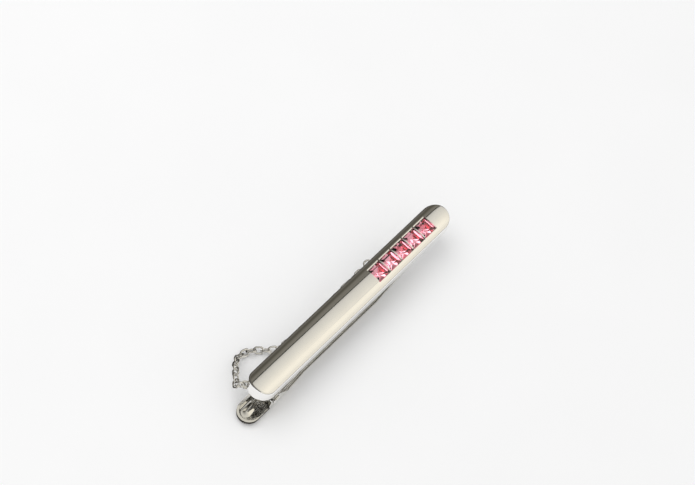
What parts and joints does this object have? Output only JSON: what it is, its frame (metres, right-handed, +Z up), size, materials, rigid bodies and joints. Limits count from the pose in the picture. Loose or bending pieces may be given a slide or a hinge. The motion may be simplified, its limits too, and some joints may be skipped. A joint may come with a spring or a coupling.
{
  "type": "tie clip",
  "caption": "Domed polished tie clip with a row of square pink stones, a sprung toothed jaw and a fine safety chain with a cross bar.",
  "frame": {"origin": "on the jaw's flat underside, in the bar's middle plane, straight below the hinge pin's axis", "axes": "+X along the bar from the hinge end to the stones, +Y across the bar towards the chain, +Z up from the jaw to the bar's domed face"},
  "size_m": [0.0592, 0.0124, 0.0088],
  "materials": {
    "polished_bar": "mirror polished, warm silver plate",
    "jaw_steel": "polished pressed sheet",
    "hinge_metal": "polished",
    "spring_steel": "drawn spring wire",
    "chain_metal": "polished fine cable chain",
    "pink_stone": "faceted pink crystal, foil backed"
  },
  "bodies": {
    "bar": {"top_bar": "polished_bar", "hinge_bracket": "hinge_metal", "hinge_pin": "hinge_metal", "torsion_spring": "spring_steel", "stone_1": "pink_stone", "stone_2": "pink_stone", "stone_3": "pink_stone", "stone_4": "pink_stone", "stone_5": "pink_stone"},
    "jaw": {"clip_jaw": "jaw_steel"},
    "chain": {"bar_jump_ring": "chain_metal", "chain_link_01": "chain_metal", "chain_link_02": "chain_metal", "chain_link_03": "chain_metal", "chain_link_04": "chain_metal", "chain_link_05": "chain_metal", "chain_link_06": "chain_metal", "chain_link_07": "chain_metal", "chain_link_08": "chain_metal", "chain_link_09": "chain_metal", "chain_link_10": "chain_metal", "chain_link_11": "chain_metal", "chain_link_12": "chain_metal", "chain_link_13": "chain_metal", "chain_link_14": "chain_metal", "chain_link_15": "chain_metal", "chain_link_16": "chain_metal", "chain_link_17": "chain_metal", "chain_link_18": "chain_metal", "chain_link_19": "chain_metal", "chain_link_20": "chain_metal", "chain_link_21": "chain_metal", "chain_link_22": "chain_metal", "chain_link_23": "chain_metal", "chain_link_24": "chain_metal", "chain_link_25": "chain_metal", "chain_link_26": "chain_metal", "chain_link_27": "chain_metal", "chain_link_28": "chain_metal", "chain_link_29": "chain_metal", "chain_link_30": "chain_metal", "button_jump_ring": "chain_metal"},
    "cross_bar": {"button_bar": "chain_metal"}
  },
  "joints": [
    {"name": "jaw_hinge", "type": "hinge", "parent": "bar", "child": "jaw", "pos_m": [0, -0.0007, 0.0032], "axis": [0, 1, 0], "range_deg": [0, 35], "stiffness_Nm_per_rad": 0.01, "springref_deg": -68.75, "deforming": ["torsion_spring"]},
    {"name": "chain_swing", "type": "hinge", "parent": "bar", "child": "chain", "pos_m": [-0.00303, 0.0026, 0.0056], "axis": [0, 0, 1], "range_deg": [0, 45]},
    {"name": "button_bar_tip", "type": "hinge", "parent": "chain", "child": "cross_bar", "pos_m": [0.03557, 0.00375, 0.00216], "axis": [0, 1, 0], "range_deg": [-75, 0]}
  ]
}
